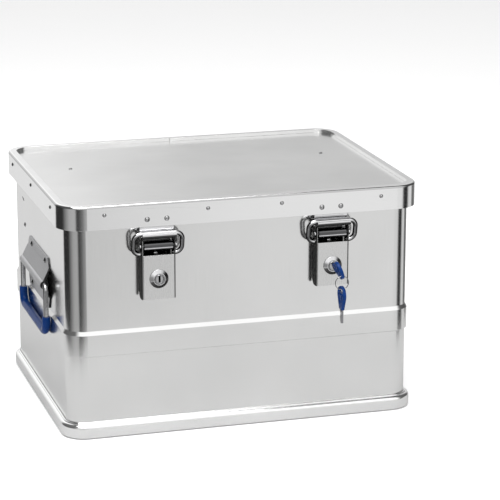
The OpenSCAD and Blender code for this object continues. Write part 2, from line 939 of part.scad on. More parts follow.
handle_bracket(LEFT);  // handle_bracket_left
handle_bracket(RIGHT);  // handle_bracket_right
handle_rivets(LEFT);  // handle_rivets_left
handle_rivets(RIGHT);  // handle_rivets_right
handle_wire(LEFT);  // handle_wire_left
handle_wire(RIGHT);  // handle_wire_right
handle_grip(LEFT);  // handle_grip_left
handle_grip(RIGHT);  // handle_grip_right
hinge_body_leaf(LEFT);  // hinge_body_leaf_left
hinge_body_leaf(RIGHT);  // hinge_body_leaf_right
hinge_lid_leaf(LEFT);  // hinge_lid_leaf_left
hinge_lid_leaf(RIGHT);  // hinge_lid_leaf_right
hinge_pin(LEFT);  // hinge_pin_left
hinge_pin(RIGHT);  // hinge_pin_right
hinge_body_rivets();
hinge_lid_rivets();
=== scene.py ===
"""Looks of the aluminium transport case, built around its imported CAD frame. Metres, +Z up, front to -Y."""

import json
import math

import bmesh
import bpy
from mathutils import Matrix, Vector

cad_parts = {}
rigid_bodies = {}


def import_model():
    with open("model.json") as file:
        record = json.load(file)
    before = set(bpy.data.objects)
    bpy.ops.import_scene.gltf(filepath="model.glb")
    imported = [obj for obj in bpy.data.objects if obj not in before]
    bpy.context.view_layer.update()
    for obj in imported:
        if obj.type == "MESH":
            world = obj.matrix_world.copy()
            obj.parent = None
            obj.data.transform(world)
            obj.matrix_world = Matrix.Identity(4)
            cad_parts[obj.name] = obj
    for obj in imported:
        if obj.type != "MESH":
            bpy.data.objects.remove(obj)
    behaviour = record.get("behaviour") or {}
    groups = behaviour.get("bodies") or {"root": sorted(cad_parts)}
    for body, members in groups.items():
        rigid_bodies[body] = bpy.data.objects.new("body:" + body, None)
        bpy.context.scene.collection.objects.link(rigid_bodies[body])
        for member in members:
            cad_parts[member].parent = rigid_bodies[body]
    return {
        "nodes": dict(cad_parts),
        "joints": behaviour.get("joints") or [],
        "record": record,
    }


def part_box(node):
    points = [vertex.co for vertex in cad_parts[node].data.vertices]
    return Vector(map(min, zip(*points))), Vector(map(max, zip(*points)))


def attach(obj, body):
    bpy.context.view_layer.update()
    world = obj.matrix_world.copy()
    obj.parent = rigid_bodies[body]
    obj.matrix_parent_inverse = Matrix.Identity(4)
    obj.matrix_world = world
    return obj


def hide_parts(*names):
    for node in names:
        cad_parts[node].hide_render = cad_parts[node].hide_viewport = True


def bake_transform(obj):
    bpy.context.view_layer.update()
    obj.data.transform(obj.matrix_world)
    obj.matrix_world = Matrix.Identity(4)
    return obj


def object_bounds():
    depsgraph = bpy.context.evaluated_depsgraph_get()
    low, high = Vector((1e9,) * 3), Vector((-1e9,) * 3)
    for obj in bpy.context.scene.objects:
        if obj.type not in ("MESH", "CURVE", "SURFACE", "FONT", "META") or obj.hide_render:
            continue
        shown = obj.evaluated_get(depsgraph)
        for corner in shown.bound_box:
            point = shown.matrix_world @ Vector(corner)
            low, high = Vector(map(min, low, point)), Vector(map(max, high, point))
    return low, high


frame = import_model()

CAD_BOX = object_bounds()
MM = 0.001
# points closer than this are one point
WELD = 0.001 * MM
SIDES = {"left": -1, "right": 1}
record = frame["record"]
joints = {j["name"]: j for j in frame["joints"]}


# ---------- camera ----------

LENS = 164.8
CAMERA_AZIMUTH = -16.54
CAMERA_ELEVATION = 15.08
CAMERA_ROLL = -0.11
CAMERA_DISTANCE = 2.841
AIM = Vector((0.0629, 0.0248, 0.1589))


def direction(azimuth, elevation):
    """Unit vector that points from the object to where azimuth and elevation, in degrees, are seen from."""
    a = math.radians(azimuth)
    e = math.radians(elevation)
    return Vector((math.sin(a) * math.cos(e), -math.cos(a) * math.cos(e), math.sin(e)))


def make_camera():
    camera = bpy.data.objects.new("camera", bpy.data.cameras.new("camera"))
    bpy.context.scene.collection.objects.link(camera)
    back = direction(CAMERA_AZIMUTH, CAMERA_ELEVATION)
    roll = Matrix.Rotation(math.radians(-CAMERA_ROLL), 4, "Z")
    turn = (-back).to_track_quat("-Z", "Y").to_matrix().to_4x4()
    camera.matrix_world = Matrix.Translation(AIM + back * CAMERA_DISTANCE) @ turn @ roll
    camera.data.lens = LENS
    camera.data.clip_end = 30
    bpy.context.scene.camera = camera


# ---------- node helpers ----------


def new_tree(name):
    """A new material with its Principled shader. Returns the material and its node tree."""
    material = bpy.data.materials.new(name)
    material.use_nodes = True
    return material, material.node_tree


def add(tree, kind, inputs=None, **settings):
    """Adds a node. inputs gives socket values or the sockets that they come from."""
    made = tree.nodes.new(kind)
    for key, value in settings.items():
        setattr(made, key, value)
    for key, value in (inputs or {}).items():
        if isinstance(value, bpy.types.NodeSocket):
            tree.links.new(value, made.inputs[key])
        else:
            made.inputs[key].default_value = value
    return made


def spread(tree, value, low, high, start=0.3, end=0.7):
    """Maps a noise value from its usual range to low..high."""
    inputs = {"Value": value, "From Min": start, "From Max": end, "To Min": low, "To Max": high}
    return add(tree, "ShaderNodeMapRange", inputs).outputs["Result"]


def noise(tree, place, stretch, detail=2.0, size=1.0):
    """Noise with stretch as its cycles per metre along each axis."""
    scaled = add(tree, "ShaderNodeMapping", {"Vector": place, "Scale": stretch}).outputs["Vector"]
    return add(tree, "ShaderNodeTexNoise", {"Vector": scaled, "Scale": size, "Detail": detail}).outputs["Fac"]


def math_node(tree, operation, a, b=0.0):
    made = add(tree, "ShaderNodeMath", operation=operation)
    for socket, value in zip(made.inputs, (a, b)):
        if isinstance(value, bpy.types.NodeSocket):
            tree.links.new(value, socket)
        else:
            socket.default_value = value
    return made.outputs["Value"]


def tint(tree, share, dark, light):
    """A colour between dark and light."""
    made = add(tree, "ShaderNodeMix", data_type="RGBA")
    tree.links.new(share, made.inputs[0])
    made.inputs[6].default_value = (*dark, 1)
    made.inputs[7].default_value = (*light, 1)
    return made.outputs[2]


def fill_ramp(ramp, stops, low, high):
    """Gives a colour ramp grey stops at (value, brightness), for values from low to high."""
    elements = ramp.elements
    while len(elements) < len(stops):
        elements.new(0.5)
    for element, (value, brightness) in zip(elements, stops):
        element.position = (value - low) / (high - low)
        element.color = (brightness, brightness, brightness, 1)


def shade(colour, factor):
    return tuple(min(1.0, c * factor) for c in colour)


# ---------- materials ----------

# radius to which sharp edges are rounded in the shading
BEVEL = 0.35 * MM
# a surface whose rounded and flat normals agree less than WORN is a worn edge, and more than FLAT is none
WORN = 0.86
FLAT = 0.995
# how much lighter and smoother a worn edge is
EDGE_SHINE = 0.25
# how far a metal's colour goes below and above its mean
DARKEST = 0.86
LIGHTEST = 1.1
LEAST_ROUGHNESS = 0.03
# soft clouds and fine flecks in metal, and the same in plastic and foam, in cycles per metre along each axis
CLOUDS = (9, 9, 9)
FLECKS = (420, 420, 420)
PLASTIC_CLOUDS = (60, 60, 60)
PLASTIC_PORES = (1500, 1500, 1500)
FOAM_CLOUDS = (30, 30, 30)
FOAM_CELLS = 900.0
# painted reflection: the share of a metal's colour kept, by how far it faces up (Z), right (X) or back (Y),
# so that the bright and dark surroundings it would mirror are painted on as bands: (normal, share)
UPWARD_REFLECTION_PAINTED = [(-1.0, 0.04), (-0.45, 0.05), (-0.2, 0.14), (-0.07, 1.0), (0.2, 1.0), (0.45, 0.9), (0.75, 0.35),
             (1.0, 0.75)]
SIDEWAYS_REFLECTION_PAINTED = [(-1.0, 0.10), (-0.66, 0.05), (-0.45, 1.0), (0.05, 1.0), (0.3, 0.45), (0.55, 0.06),
                (1.0, 0.12)]
BARREL_REFLECTION_PAINTED = [(-1.0, 0.03), (-0.6, 0.03), (-0.45, 0.3), (-0.37, 1.0), (-0.28, 1.0), (-0.18, 0.16), (0.3, 0.10),
             (0.8, 0.25), (1.0, 0.35)]
# painted shade on the lid frame's rounded edges
EDGE_SHADE_PAINTED = [(0.0, 1.0), (0.15, 0.6), (0.5, 0.5), (0.85, 0.6), (0.97, 1.0)]
# painted shade on faces that face the front
FRONT_SHADE_PAINTED = [(-1.0, 0.12), (-0.6, 0.15), (-0.3, 1.0), (1.0, 1.0)]
# and the painted shade on a rivet, by how squarely it faces one of the axes: the slopes of its head are
# painted dark
RIVET_SLOPE_SHADE_PAINTED = [(0.5, 0.06), (0.76, 0.08), (0.86, 0.95), (1.0, 1.0)]
# the painted reflections of polished metal and of the latch plate, by the axis that each faces
POLISHED_REFLECTION_PAINTED = {"Z": UPWARD_REFLECTION_PAINTED, "X": SIDEWAYS_REFLECTION_PAINTED}
LATCH_REFLECTION_PAINTED = {"Z": BARREL_REFLECTION_PAINTED, "X": SIDEWAYS_REFLECTION_PAINTED}
# painted shade in hollows: the ambient occlusion at which a hollow is painted darkest, and the one from which
# it is not darkened
HOLLOW_SHADE_PAINTED = (0.2, 0.8)
# the distance over which that ambient occlusion looks for nearby surfaces
CREVICE = 2.5 * MM


def grey_ramp(tree, value, stops, low, high):
    share = spread(tree, value, 0.0, 1.0, low, high)
    made = add(tree, "ShaderNodeValToRGB", {"Fac": share})
    fill_ramp(made.color_ramp, stops, low, high)
    return made.outputs["Color"]


def darkened(tree, colour, factor):
    made = add(tree, "ShaderNodeMix", {0: 1.0, 6: colour, 7: factor}, data_type="RGBA", blend_type="MULTIPLY")
    return made.outputs[2]


def squareness(tree, parts):
    """The largest of a normal's three parts, whichever way it points."""
    largest = math_node(tree, "ABSOLUTE", parts["X"])
    for axis in "YZ":
        largest = math_node(tree, "MAXIMUM", largest, math_node(tree, "ABSOLUTE", parts[axis]))
    return largest


def metal(name, colour, roughness, grain, grain_depth=0.004, smudge=0.03, spots=0.0, edge=BEVEL,
          bands=None, slopes=None, shady=None):
    """Metal with rolled or brushed grain, soft smudges, and edges that are slightly rounded and polished.

    grain is the cycles per metre along X, Y and Z, and grain_depth is the depth of the lines in millimetres.
    bands paints polished metal's reflections as dark and bright bands, by the axis that it faces. slopes
    paints shade on what faces no axis squarely, and shady paints shade in hollows.
    """
    material, tree = new_tree(name)
    shader = tree.nodes["Principled BSDF"]
    shader.inputs["Metallic"].default_value = 1.0
    place = add(tree, "ShaderNodeTexCoord").outputs["Object"]
    lines = noise(tree, place, grain, detail=3.0)
    clouds = noise(tree, place, CLOUDS, detail=3.0)
    flecks = noise(tree, place, FLECKS, detail=2.0)

    rounded = add(tree, "ShaderNodeBevel", {"Radius": edge}, samples=4).outputs["Normal"]
    flat = add(tree, "ShaderNodeNewGeometry").outputs["Normal"]
    agree = add(tree, "ShaderNodeVectorMath", {0: rounded, 1: flat}, operation="DOT_PRODUCT").outputs["Value"]
    worn = spread(tree, agree, 1.0, 0.0, WORN, FLAT)

    tone = math_node(tree, "ADD", spread(tree, clouds, 0.3, 0.6), spread(tree, lines, -0.12, 0.12))
    tone = math_node(tree, "ADD", tone, spread(tree, flecks, -spots, spots))
    tone = math_node(tree, "ADD", tone, math_node(tree, "MULTIPLY", worn, EDGE_SHINE))
    tone = add(tree, "ShaderNodeClamp", {"Value": tone}).outputs["Result"]
    base = tint(tree, tone, shade(colour, DARKEST), shade(colour, LIGHTEST))
    facing = add(tree, "ShaderNodeTexCoord").outputs["Normal"]
    parts = add(tree, "ShaderNodeSeparateXYZ", {"Vector": facing}).outputs
    # painted reflection: the colour is darkened by the way the surface faces
    for axis, stops in (bands or {}).items():
        base = darkened(tree, base, grey_ramp(tree, parts[axis], stops, -1, 1))
    # painted shade on what faces no axis squarely
    if slopes:
        base = darkened(tree, base, grey_ramp(tree, squareness(tree, parts), slopes, 0, 1))
    # painted shade in hollows, from ambient occlusion
    if shady:
        hollow = add(tree, "ShaderNodeAmbientOcclusion", {"Distance": CREVICE}, samples=6).outputs["AO"]
        base = darkened(tree, base, spread(tree, hollow, 0.1, 1.0, *shady))
    tree.links.new(base, shader.inputs["Base Color"])

    rough = math_node(tree, "ADD", spread(tree, clouds, roughness - smudge, roughness + smudge),
                      spread(tree, lines, -smudge, smudge))
    rough = math_node(tree, "ADD", rough, spread(tree, flecks, -spots * 0.15, spots * 0.15))
    rough = math_node(tree, "SUBTRACT", rough, math_node(tree, "MULTIPLY", worn, roughness * EDGE_SHINE))
    tree.links.new(math_node(tree, "MAXIMUM", rough, LEAST_ROUGHNESS), shader.inputs["Roughness"])

    bump = add(tree, "ShaderNodeBump", {"Strength": 1.0, "Distance": grain_depth * MM,
                                        "Height": lines, "Normal": rounded})
    tree.links.new(bump.outputs["Normal"], shader.inputs["Normal"])
    return material


def plastic(name, colour, roughness, texture_depth):
    """Moulded plastic with a fine texture, slight clouding and rubbed edges."""
    material, tree = new_tree(name)
    shader = tree.nodes["Principled BSDF"]
    shader.inputs["Specular IOR Level"].default_value = 0.12
    place = add(tree, "ShaderNodeTexCoord").outputs["Object"]
    pores = noise(tree, place, PLASTIC_PORES, detail=2.0)
    clouds = noise(tree, place, PLASTIC_CLOUDS, detail=3.0)
    rounded = add(tree, "ShaderNodeBevel", {"Radius": BEVEL}, samples=4).outputs["Normal"]
    tree.links.new(tint(tree, spread(tree, clouds, 0.2, 0.8), shade(colour, 0.8), shade(colour, 1.2)),
                   shader.inputs["Base Color"])
    tree.links.new(math_node(tree, "ADD", spread(tree, clouds, roughness - 0.05, roughness + 0.05),
                             spread(tree, pores, -0.04, 0.04)), shader.inputs["Roughness"])
    bump = add(tree, "ShaderNodeBump", {"Distance": texture_depth * MM, "Height": pores, "Normal": rounded})
    tree.links.new(bump.outputs["Normal"], shader.inputs["Normal"])
    return material


def foam_rubber(name):
    """Dark foam with open cells and soft clouds."""
    material, tree = new_tree(name)
    shader = tree.nodes["Principled BSDF"]
    place = add(tree, "ShaderNodeTexCoord").outputs["Object"]
    cells = add(tree, "ShaderNodeTexVoronoi", {"Vector": place, "Scale": FOAM_CELLS}).outputs["Distance"]
    clouds = noise(tree, place, FOAM_CLOUDS, detail=3.0)
    dark = (0.030, 0.030, 0.032)
    light = (0.055, 0.055, 0.058)
    tree.links.new(tint(tree, spread(tree, clouds, 0.0, 1.0), dark, light), shader.inputs["Base Color"])
    tree.links.new(spread(tree, cells, 0.62, 0.85, 0.0, 0.8), shader.inputs["Roughness"])
    bump = add(tree, "ShaderNodeBump", {"Distance": 0.08 * MM, "Height": cells})
    tree.links.new(bump.outputs["Normal"], shader.inputs["Normal"])
    return material


def webbing(name):
    """Woven strap: ribs across it and threads along it, laid out on the strap's own UV map in millimetres."""
    material, tree = new_tree(name)
    shader = tree.nodes["Principled BSDF"]
    shader.inputs["Sheen Weight"].default_value = 0.25
    uv = add(tree, "ShaderNodeUVMap", uv_map="strap").outputs["UV"]
    along = add(tree, "ShaderNodeTexWave", {"Vector": uv, "Scale": 0.33, "Distortion": 0.4, "Detail": 1.0},
                bands_direction="X").outputs["Fac"]
    across = add(tree, "ShaderNodeTexWave", {"Vector": uv, "Scale": 0.22, "Distortion": 0.5, "Detail": 1.0},
                 bands_direction="Y").outputs["Fac"]
    fuzz = add(tree, "ShaderNodeTexNoise", {"Vector": uv, "Scale": 3.0, "Detail": 3.0}).outputs["Fac"]
    gap_height = 0.35
    weave = math_node(tree, "MULTIPLY", math_node(tree, "ADD", along, gap_height),
                      math_node(tree, "ADD", across, gap_height))
    height = math_node(tree, "ADD", weave, math_node(tree, "MULTIPLY", fuzz, 0.3))
    # the weave's valleys are painted darker than its crests: painted shade between the threads
    valley = (0.012, 0.012, 0.014)
    crest = (0.06, 0.06, 0.065)
    tree.links.new(tint(tree, spread(tree, height, 0.0, 1.0, 0.1, 1.4), valley, crest),
                   shader.inputs["Base Color"])
    tree.links.new(spread(tree, fuzz, 0.65, 0.85), shader.inputs["Roughness"])
    bump = add(tree, "ShaderNodeBump", {"Distance": 0.25 * MM, "Height": height})
    tree.links.new(bump.outputs["Normal"], shader.inputs["Normal"])
    return material


# the grain of each kind of metal, in cycles per metre along X, Y and Z
ALONG_WALLS = (25, 25, 2600)
UPRIGHT = (2600, 2600, 25)
LENGTHWISE = (25, 2200, 25)
FINE = (1800, 1800, 1800)
MOTTLED = (600, 600, 600)
# colour of the extruded profiles
PROFILE = (0.92, 0.92, 0.917)

MATERIALS = {
    "body_sheet": metal("rolled_sheet", (0.80, 0.80, 0.795), 0.17, UPRIGHT, 0.0012, 0.02),
    "lid_sheet": metal("lid_sheet", (0.82, 0.82, 0.815), 0.20, LENGTHWISE, 0.002, 0.025),
    "frame_profile": metal("extruded_profile", PROFILE, 0.15, ALONG_WALLS, 0.002, 0.025),
    # rivets: the slopes of their heads and their hollows get painted shade
    "rivet_metal": metal("rivet_aluminium", (0.74, 0.74, 0.745), 0.09, FINE, 0.002, 0.03,
                         slopes=RIVET_SLOPE_SHADE_PAINTED, shady=HOLLOW_SHADE_PAINTED),
    # chrome: painted reflections as dark and bright bands by facing, and painted shade in hollows
    "chrome_wire": metal("chrome_plating", (0.78, 0.78, 0.79), 0.05, FINE, 0.0005, 0.015,
                         bands=POLISHED_REFLECTION_PAINTED, shady=HOLLOW_SHADE_PAINTED),
    # latch plates: painted reflections by facing, dark underneath, and painted shade in hollows
    "latch_plate": metal("latch_plating", (0.80, 0.80, 0.82), 0.08, FINE, 0.0005, 0.02,
                         bands=LATCH_REFLECTION_PAINTED, shady=HOLLOW_SHADE_PAINTED),
    # levers: painted reflection and shade by how far they face left or right
    "lever_satin": metal("satin_steel", (0.76, 0.76, 0.755), 0.28, UPRIGHT, 0.0015, 0.03,
                         bands={"X": SIDEWAYS_REFLECTION_PAINTED}),
    # locks: painted reflections by facing, and painted shade in hollows
    "lock_metal": metal("lock_nickel", (0.50, 0.50, 0.51), 0.14, FINE, 0.002, 0.04,
                        bands=POLISHED_REFLECTION_PAINTED, shady=HOLLOW_SHADE_PAINTED),
    "key_metal": metal("key_nickel", (0.32, 0.32, 0.335), 0.20, FINE, 0.003, 0.04),
    # zinc plates: front faces and hollows get painted shade; the spots are the zinc's own mottling
    "zinc_plate": metal("zinc_sheet", (0.52, 0.52, 0.53), 0.40, MOTTLED, 0.004, 0.06, spots=0.35,
                        edge=0.12 * MM, bands={"Y": FRONT_SHADE_PAINTED}, shady=HOLLOW_SHADE_PAINTED),
    "handle_steel": metal("zinc_wire", (0.58, 0.58, 0.59), 0.22, FINE, 0.002, 0.05),
    "blue_plastic": plastic("blue_plastic", (0.002, 0.028, 0.14), 0.30, 0.008),
    "seal_rubber": foam_rubber("seal_foam"),
    "webbing": webbing("strap_webbing"),
}
# the lid frame's rounded edges are painted darker than its flat faces: painted shade that dims their
# reflection
lid_profile = metal("lid_profile", PROFILE, 0.15, ALONG_WALLS, 0.002, 0.025, bands={"Z": EDGE_SHADE_PAINTED})
# the broken mandrel's steel, painted near black: partly its own darker steel, partly painted shade deep in
# the head's hole
mandrel_dark = metal("rivet_mandrel", (0.10, 0.10, 0.105), 0.40, FINE, 0.004, 0.05)


def dress(obj, slot):
    """Gives a piece the material of one of the record's slots."""
    obj.data.materials.clear()
    obj.data.materials.append(MATERIALS[slot])


def dress_frame():
    """Puts the procedural materials on the CAD nodes."""
    for row in record["subparts"]:
        node = frame["nodes"][row["node"]]
        material = lid_profile if row["node"] == "lid_frame" else MATERIALS[row["material_slot"]]
        for slot in node.material_slots:
            slot.material = material


# ---------- mesh helpers ----------


def to_object(name, mesh_data, body, slot, nodes=()):
    """Finishes a bmesh as a piece that rides on a body and stands for the given CAD nodes."""
    mesh = bpy.data.meshes.new(name)
    bmesh.ops.recalc_face_normals(mesh_data, faces=mesh_data.faces)
    mesh_data.to_mesh(mesh)
    mesh_data.free()
    obj = bpy.data.objects.new(name, mesh)
    bpy.context.scene.collection.objects.link(obj)
    dress(obj, slot)
    if body:
        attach(obj, body)
    if nodes:
        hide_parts(*nodes)
    return obj


def smooth_by_angle(obj, degrees):
    for polygon in obj.data.polygons:
        polygon.use_smooth = True
    obj.data.set_sharp_from_angle(angle=math.radians(degrees))


def body_of_node(node):
    return next(name for name, members in record["behaviour"]["bodies"].items() if node in members)


def solids(node):
    """The lowest and highest corner of each separate solid in a CAD node."""
    work = bmesh.new()
    work.from_mesh(frame["nodes"][node].data)
    bmesh.ops.remove_doubles(work, verts=work.verts, dist=WELD)
    left = set(work.verts)
    found = []
    while left:
        group = [left.pop()]
        for vert in group:
            for edge in vert.link_edges:
                other = edge.other_vert(vert)
                if other in left:
                    left.remove(other)
                    group.append(other)
        xs, ys, zs = zip(*(v.co for v in group))
        found.append((Vector((min(xs), min(ys), min(zs))), Vector((max(xs), max(ys), max(zs)))))
    work.free()
    return sorted(found, key=lambda pair: tuple(round(c, 5) for c in pair[0]))


def lathe(work, profile, place, steps=32, material=0):
    """Adds a turned shape to a bmesh. profile lists (radius, height), and place puts +Z where it belongs."""
    rings = []
    for radius, height in profile:
        if radius == 0:
            rings.append([work.verts.new(place @ Vector((0, 0, height)))])
        else:
            rings.append([work.verts.new(place @ Vector((radius * math.cos(a), radius * math.sin(a), height)))
                          for a in (2 * math.pi * k / steps for k in range(steps))])
    for lower, upper in zip(rings, rings[1:]):
        for k in range(steps):
            corners = [lower[k % len(lower)], lower[(k + 1) % len(lower)] if len(lower) > 1 else None,
                       upper[(k + 1) % len(upper)] if len(upper) > 1 else None, upper[k % len(upper)]]
            face = work.faces.new([c for c in corners if c is not None])
            face.smooth = True
            face.material_index = material


# ---------- rivets ----------

RIVET_NODES = [n for n in frame["nodes"] if "rivets" in n]
BODY_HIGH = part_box("body_shell")[1]
# a rivet on a wall or on the lid's band sits no farther inside the body's box than this
WALL_REACH = 15 * MM
# shares of the head's radius
SHANK_SHARE = 0.63
HOLE_SHARE = 0.36
LIP_SHARE = 0.08
HOLE_DEPTH_SHARE = 0.22
# height of the head as a share of its radius, for rivets of middle size and for all others
MIDDLE_SIZE = (2.6 * MM, 3.1 * MM)
MIDDLE_DOME = 0.4
OTHER_DOME = 0.56


def outward(centre):
    """Which way a rivet's head faces, from where it sits on the case."""
    if abs(centre.y) > BODY_HIGH.y - WALL_REACH:
        return Vector((0, math.copysign(1, centre.y), 0))
    if abs(centre.x) > BODY_HIGH.x - WALL_REACH:
        return Vector((math.copysign(1, centre.x), 0, 0))
    return Vector((0, 0, 1))


def rivet_profile(radius, dome, length):
    """A blind rivet from its tail to its head, with the broken mandrel sunk in the middle of the head."""
    shank = radius * SHANK_SHARE
    hole = radius * HOLE_SHARE
    lip = radius * LIP_SHARE
    curve_r = (radius ** 2 + dome ** 2) / (2 * dome)
    arc = []
    for k in range(9):
        r = radius + (hole + lip - radius) * k / 8
        arc.append((r, dome - curve_r + math.sqrt(curve_r ** 2 - r ** 2)))
    rim_z = arc[-1][1]
    floor_z = rim_z - radius * HOLE_DEPTH_SHARE
    tail = dome - length
    return [
        (0, tail), (shank * 0.7, tail), (shank * 0.95, tail + 0.2 * MM), (shank, tail + 0.5 * MM), (shank, 0),
        *arc,
        (hole, rim_z - lip), (hole, floor_z),
    ], [(hole, floor_z), (hole * 0.7, rim_z - radius * 0.18), (0, rim_z - radius * 0.12)]


def make_rivets():
    for node in sorted(RIVET_NODES):
        work = bmesh.new()
        for low, high in solids(node):
            facing = outward((low + high) / 2)
            size = high - low
            along = abs(size.dot(Vector(map(abs, facing))))
            radius = (sum(size) - along) / 4
            dome = radius * (MIDDLE_DOME if MIDDLE_SIZE[0] < radius < MIDDLE_SIZE[1] else OTHER_DOME)
            top = Vector([(high if facing[i] > 0 else low)[i] if facing[i] else (low[i] + high[i]) / 2
                          for i in range(3)])
            turn = facing.to_track_quat("Z", "Y").to_matrix().to_4x4()
            place = Matrix.Translation(top - facing * dome) @ turn
            head, mandrel = rivet_profile(radius, dome, along)
            lathe(work, head, place)
            lathe(work, mandrel, place, material=1)
        bmesh.ops.remove_doubles(work, verts=work.verts, dist=WELD)
        made = to_object(node + "_domed", work, body_of_node(node), "rivet_metal", [node])
        made.data.materials.append(mandrel_dark)
        smooth_by_angle(made, 50)


# ---------- locks and keys ----------


def make_lock_faces():
    """Concentric rings turned into the face of each lock plug, around its keyway."""
    for side in SIDES:
        low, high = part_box(f"lock_plug_{side}")
        centre = Vector(((low.x + high.x) / 2, low.y, (low.z + high.z) / 2))
        place = Matrix.Translation(centre) @ Matrix.Rotation(math.pi / 2, 4, "X")
        work = bmesh.new()
        outer = 5.9 * MM
        inner = 4.25 * MM
        rise = 0.35 * MM
        crown = rise + 0.1 * MM
        groove = rise * 0.5
        lathe(work, [(inner, 0), (inner, rise), (inner + 0.2 * MM, crown), (outer - 0.9 * MM, crown),
                     (outer - 0.6 * MM, groove), (outer - 0.3 * MM, groove), (outer, 0), (inner, 0)],
              place, 48)
        bmesh.ops.remove_doubles(work, verts=work.verts, dist=WELD)
        made = to_object(f"lock_face_{side}", work, f"plug_{side}", "lock_metal")
        smooth_by_angle(made, 40)


def outline_solid(name, outlines, thickness, bevel, place):
    """A flat shape with rounded edges: the first outline is its edge, and the others are holes."""
    curve = bpy.data.curves.new(name, "CURVE")
    curve.dimensions = "2D"
    curve.fill_mode = "BOTH"
    curve.extrude = thickness / 2 - bevel
    curve.bevel_depth = bevel
    curve.bevel_resolution = 3
    curve.offset = -bevel
    for points in outlines:
        spline = curve.splines.new("POLY")
        spline.points.add(len(points) - 1)
        for target, (x, y) in zip(spline.points, points):
            target.co = (x, y, 0, 1)
        spline.use_cyclic_u = True
    holder = bpy.data.objects.new(name, curve)
    bpy.context.scene.collection.objects.link(holder)
    bpy.context.view_layer.update()
    mesh = bpy.data.meshes.new_from_object(holder.evaluated_get(bpy.context.evaluated_depsgraph_get()))
    bpy.data.objects.remove(holder)
    mesh.name = name
    mesh.transform(place)
    work = bmesh.new()
    work.from_mesh(mesh)
    bmesh.ops.remove_doubles(work, verts=work.verts, dist=WELD)
    bpy.data.meshes.remove(mesh)
    return work


def arc_points(cx, cy, radius, start, end, steps):
    return [(cx + radius * math.cos(a), cy + radius * math.sin(a))
            for a in (math.radians(start + (end - start) * k / steps) for k in range(steps + 1))]


KEY_SOLIDS = {"key": ("key_head", "key_blade"), "spare_key": ("spare_key_head", "spare_key_blade")}
# how far each key is turned about its own axis: the plug is shown that far past unlocked
KEY_TURN = {"key": math.radians(-joints["lock_right"]["range_deg"][0]), "spare_key": 0.0}
# how deep each cut in the blade's edge is, from the head to the tip
KEY_CUTS = [0.4 * MM, 1.9 * MM, 0.7 * MM, 1.5 * MM, 0.2 * MM, 1.3 * MM, 0.9 * MM, 1.8 * MM]


def key_place(head_node, blade_node, turn):
    """Frame of a key: origin where head and blade meet, +X out to the head, +Z through its flat sides."""
    head_low, head_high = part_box(head_node)
    blade_low, blade_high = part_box(blade_node)
    blade_middle = (blade_low + blade_high) / 2
    out = (head_low + head_high) / 2 - blade_middle
    out = Vector((0, round(out.y / out.length), round(out.z / out.length)))
    reach = max((corner - blade_middle).dot(out) for corner in (head_low, head_high))
    length = abs((head_high - head_low).dot(out))
    across = Vector((math.cos(turn), 0, math.sin(turn)))
    basis = Matrix((out, across.cross(out), across)).transposed().to_4x4()
    return Matrix.Translation(blade_middle + out * (reach - length)) @ basis, length


def head_outlines(length, width):
    """Edge of a key's plastic head, and the slot that the ring slides along."""
    half = width / 2
    neck = 4.4 * MM
    slot_r = 2.3 * MM
    slot_half = 5.4 * MM
    slot_from_end = 5.4 * MM
    slot_x = length - slot_from_end
    edge = [(0, -neck), *arc_points(length - half, 0, half, -100, 100, 36), (0, neck)]
    slot = arc_points(slot_x, slot_half, slot_r, 0, 180, 12)
    slot += arc_points(slot_x, -slot_half, slot_r, 180, 360, 12)
    return [edge, slot]


def blade_outline(length, width):
    """Edge of a key's blade, with the cuts along one side and a slanted tip."""
    half = width / 2
    root_x = 1.0 * MM
    first_cut = 3.2 * MM
    tip = 1.2 * MM
    step = (length - first_cut - 2 * tip) / len(KEY_CUTS)
    cuts = []
    for k, depth in enumerate(KEY_CUTS):
        x = -first_cut - k * step
        cuts += [(x - step * 0.3, depth - half), (x - step * 0.7, depth - half)]
    edge = [(root_x, -half), (tip - first_cut, -half), *cuts, (-length, 0), (tip - length, half),
            (root_x, half)]
    return edge[::-1]


def make_finger_pads(name, place, length, thickness, body):
    """Raised oval rims on both flat sides of a key's head."""
    profile = [(4.6, -0.3), (4.6, 0.05), (4.3, 0.3), (3.9, 0.3), (3.6, 0.05), (1.5, 0.02), (0, 0.02)]
    stretch = 1.35
    along_head = 0.44
    work = bmesh.new()
    for hand in (-1, 1):
        at = place @ Matrix.Translation((length * along_head, 0, hand * thickness / 2))
        lathe(work, [(r * MM, z * MM) for r, z in profile], at @ Matrix.Diagonal((stretch, 1, hand, 1)), 40)
    smooth_by_angle(to_object(name, work, body, "blue_plastic"), 40)


def make_keys():
    # the spare key hangs square to the frame, so its boxes give the sizes of both keys
    head_t, head_w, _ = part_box("spare_key_head")[1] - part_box("spare_key_head")[0]
    blade_t, blade_w, blade_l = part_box("spare_key_blade")[1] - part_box("spare_key_blade")[0]
    for body, (head_node, blade_node) in KEY_SOLIDS.items():
        place, length = key_place(head_node, blade_node, KEY_TURN[body])
        work = outline_solid(head_node, head_outlines(length, head_w), head_t, 0.8 * MM, place)
        smooth_by_angle(to_object(head_node + "_grip", work, body, "blue_plastic", [head_node]), 40)
        make_finger_pads(head_node + "_pads", place, length, head_t, body)
        work = outline_solid(blade_node, [blade_outline(blade_l, blade_w)], blade_t, 0.18 * MM, place)
        smooth_by_angle(to_object(blade_node + "_cut", work, body, "key_metal", [blade_node]), 30)


